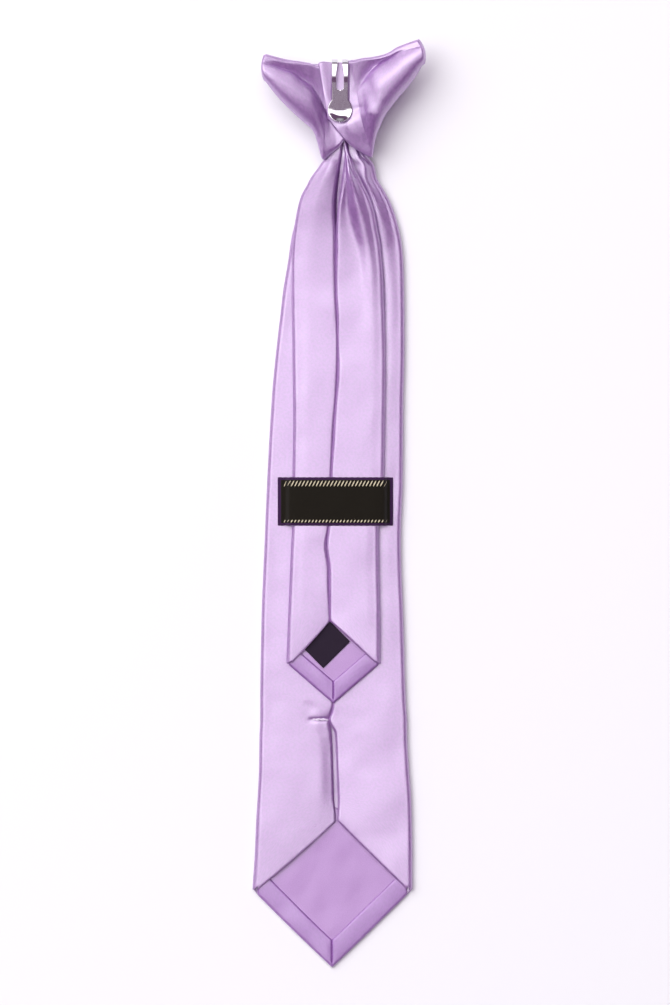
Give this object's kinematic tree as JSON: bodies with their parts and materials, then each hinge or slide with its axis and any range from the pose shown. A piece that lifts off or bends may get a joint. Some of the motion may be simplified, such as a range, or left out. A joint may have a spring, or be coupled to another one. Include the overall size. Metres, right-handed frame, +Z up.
{
  "type": "clip-on necktie",
  "caption": "Pre-tied satin necktie seen from the back, with a sprung steel clip over the knot, collar wings, a wide pointed front blade and a narrow tail held by a keeper label.",
  "frame": {"origin": "middle of the tie's footprint on the surface that it lies on, face down", "axes": "+Y along the tie from the point of the front blade to the knot, +Z up out of the back of the tie, towards the clip, +X to the right as seen from the back"},
  "size_m": [0.0946, 0.5084, 0.0258],
  "materials": {
    "satin_cloth": "lilac microfibre satin with a soft sheen",
    "tipping_cloth": "lilac lining satin, slightly darker",
    "woven_label": "black damask weave with cream hatched borders",
    "care_tape": "black woven tape, plain",
    "clip_steel": "bright nickel-plated spring steel"
  },
  "bodies": {
    "root": {"front_blade": "satin_cloth", "tail_blade": "satin_cloth", "knot_wrap": "satin_cloth", "neck_band": "satin_cloth", "left_wing": "satin_cloth", "right_wing": "satin_cloth", "front_tipping": "tipping_cloth", "tail_tipping": "tipping_cloth", "keeper_label": "woven_label", "care_label": "care_tape", "spring_clip": "clip_steel"}
  },
  "joints": []
}
